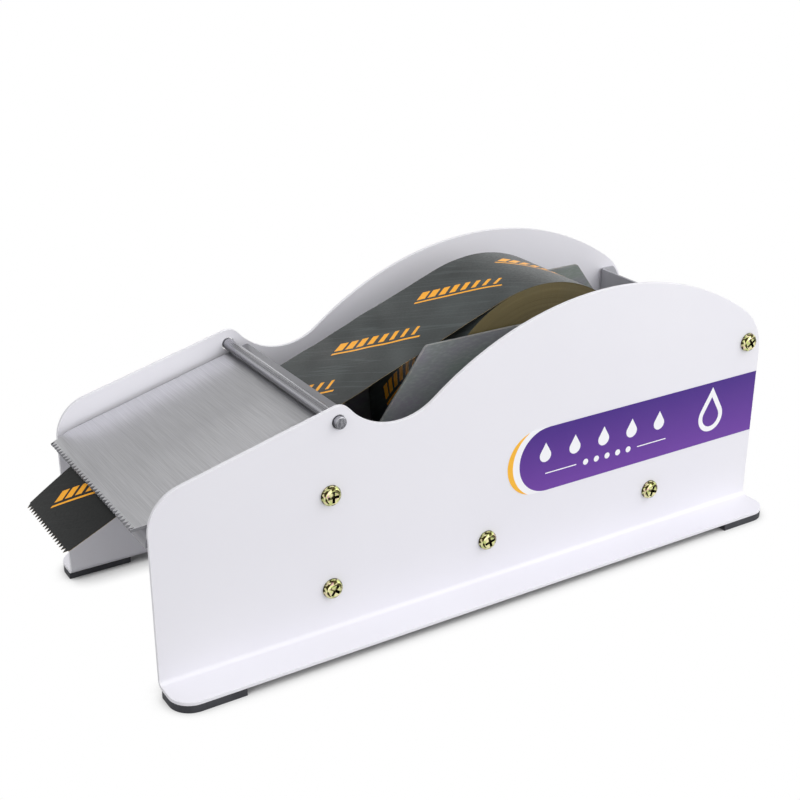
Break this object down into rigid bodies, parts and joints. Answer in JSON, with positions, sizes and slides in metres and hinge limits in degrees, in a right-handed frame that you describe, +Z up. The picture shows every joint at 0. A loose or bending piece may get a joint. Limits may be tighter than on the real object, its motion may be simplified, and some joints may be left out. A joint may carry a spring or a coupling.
{
  "type": "gummed tape dispenser",
  "caption": "Counter dispenser for gummed paper tape: sheet-metal side plates, hinged serrated tear flap, water tank with wetting roller, tape roll on cradle rollers between guides.",
  "frame": {"origin": "on the counter, below the middle of the whole object's length and width", "axes": "+Z up; -X towards the tape exit, +X towards the rear; the object's own left side plate is at -Y"},
  "size_m": [0.453, 0.185, 0.174],
  "materials": {
    "white_paint": "satin powder coat",
    "grey_paint": "satin powder coat",
    "guide_metal": "satin",
    "stainless": "brushed across",
    "steel": "drawn",
    "zinc_yellow": "yellow zinc plate",
    "zinc_clear": "clear zinc plate",
    "aluminium": "turned",
    "black_rubber": "matt",
    "kraft": "matt",
    "tape_face": "matt",
    "core_board": "matt",
    "felt": "felt",
    "nylon": "natural nylon",
    "knob_plastic": "satin",
    "label_film": "printed vinyl film"
  },
  "bodies": {
    "frame": {"left_side_plate": "white_paint", "right_side_plate": "white_paint", "front_left_foot": "black_rubber", "front_right_foot": "black_rubber", "rear_left_foot": "black_rubber", "rear_right_foot": "black_rubber", "side_label": "label_film", "tape_table": "stainless", "floor_tray": "grey_paint", "back_plate": "grey_paint", "tank_shelf": "stainless", "water_tank": "stainless", "tank_bushes": "nylon", "front_cradle_axle": "steel", "rear_cradle_axle": "steel", "tape_strip": "tape_face", "side_screws": "zinc_yellow", "side_nuts": "zinc_clear", "floor_rivets": "aluminium", "shelf_rivets": "aluminium"},
    "flap": {"tear_flap": "stainless", "pivot_rod": "steel", "flap_welds": "stainless"},
    "roll": {"tape_roll": "kraft", "roll_core": "core_board"},
    "wetting_roller": {"wetting_sleeve": "felt", "wetting_core": "aluminium", "wetting_axle": "steel"},
    "front_cradle": {"front_cradle_roller": "aluminium"},
    "rear_cradle": {"rear_cradle_roller": "aluminium"},
    "left_guide_set": {"left_guide": "guide_metal", "left_guide_washers": "zinc_clear", "left_slide_nuts": "zinc_clear"},
    "right_guide_set": {"right_guide": "guide_metal", "right_guide_washers": "zinc_clear", "right_slide_nuts": "zinc_clear"},
    "front_left_knob": {"front_left_thumb_screw": "knob_plastic"},
    "rear_left_knob": {"rear_left_thumb_screw": "knob_plastic"},
    "front_right_knob": {"front_right_thumb_screw": "knob_plastic"},
    "rear_right_knob": {"rear_right_thumb_screw": "knob_plastic"}
  },
  "joints": [
    {"name": "flap_hinge", "type": "hinge", "parent": "frame", "child": "flap", "pos_m": [-0.0838, 0, 0.1319], "axis": [0, 1, 0], "range_deg": [0, 175]},
    {"name": "roll_spin", "type": "hinge", "parent": "frame", "child": "roll", "pos_m": [0.0732, 0, 0.09419], "axis": [0, 1, 0], "continuous": true},
    {"name": "wetting_spin", "type": "hinge", "parent": "frame", "child": "wetting_roller", "pos_m": [-0.132, 0, 0.0958], "axis": [0, 1, 0], "continuous": true},
    {"name": "front_cradle_spin", "type": "hinge", "parent": "frame", "child": "front_cradle", "pos_m": [0.0312, 0, 0.0188], "axis": [0, 1, 0], "continuous": true},
    {"name": "rear_cradle_spin", "type": "hinge", "parent": "frame", "child": "rear_cradle", "pos_m": [0.1152, 0, 0.0188], "axis": [0, 1, 0], "continuous": true},
    {"name": "left_guide_slide", "type": "slide", "parent": "frame", "child": "left_guide_set", "axis": [0, -1, 0], "range_m": [-0.0012, 0.013]},
    {"name": "right_guide_slide", "type": "slide", "parent": "frame", "child": "right_guide_set", "axis": [0, 1, 0], "range_m": [-0.0012, 0.018]},
    {"name": "front_left_knob_turn", "type": "hinge", "parent": "left_guide_set", "child": "front_left_knob", "pos_m": [-0.0268, -0.029, 0.0121], "axis": [0, 0, 1], "range_deg": [0, 360]},
    {"name": "rear_left_knob_turn", "type": "hinge", "parent": "left_guide_set", "child": "rear_left_knob", "pos_m": [0.1732, -0.029, 0.0121], "axis": [0, 0, 1], "range_deg": [0, 360]},
    {"name": "front_right_knob_turn", "type": "hinge", "parent": "right_guide_set", "child": "front_right_knob", "pos_m": [-0.0268, 0.024, 0.0121], "axis": [0, 0, 1], "range_deg": [0, 360]},
    {"name": "rear_right_knob_turn", "type": "hinge", "parent": "right_guide_set", "child": "rear_right_knob", "pos_m": [0.1732, 0.024, 0.0121], "axis": [0, 0, 1], "range_deg": [0, 360]}
  ],
  "couplings": [
    {"joint": "wetting_spin", "follows": "roll_spin", "ratio": 5.2},
    {"joint": "front_cradle_spin", "follows": "roll_spin", "ratio": -9.75},
    {"joint": "rear_cradle_spin", "follows": "roll_spin", "ratio": -9.75}
  ]
}
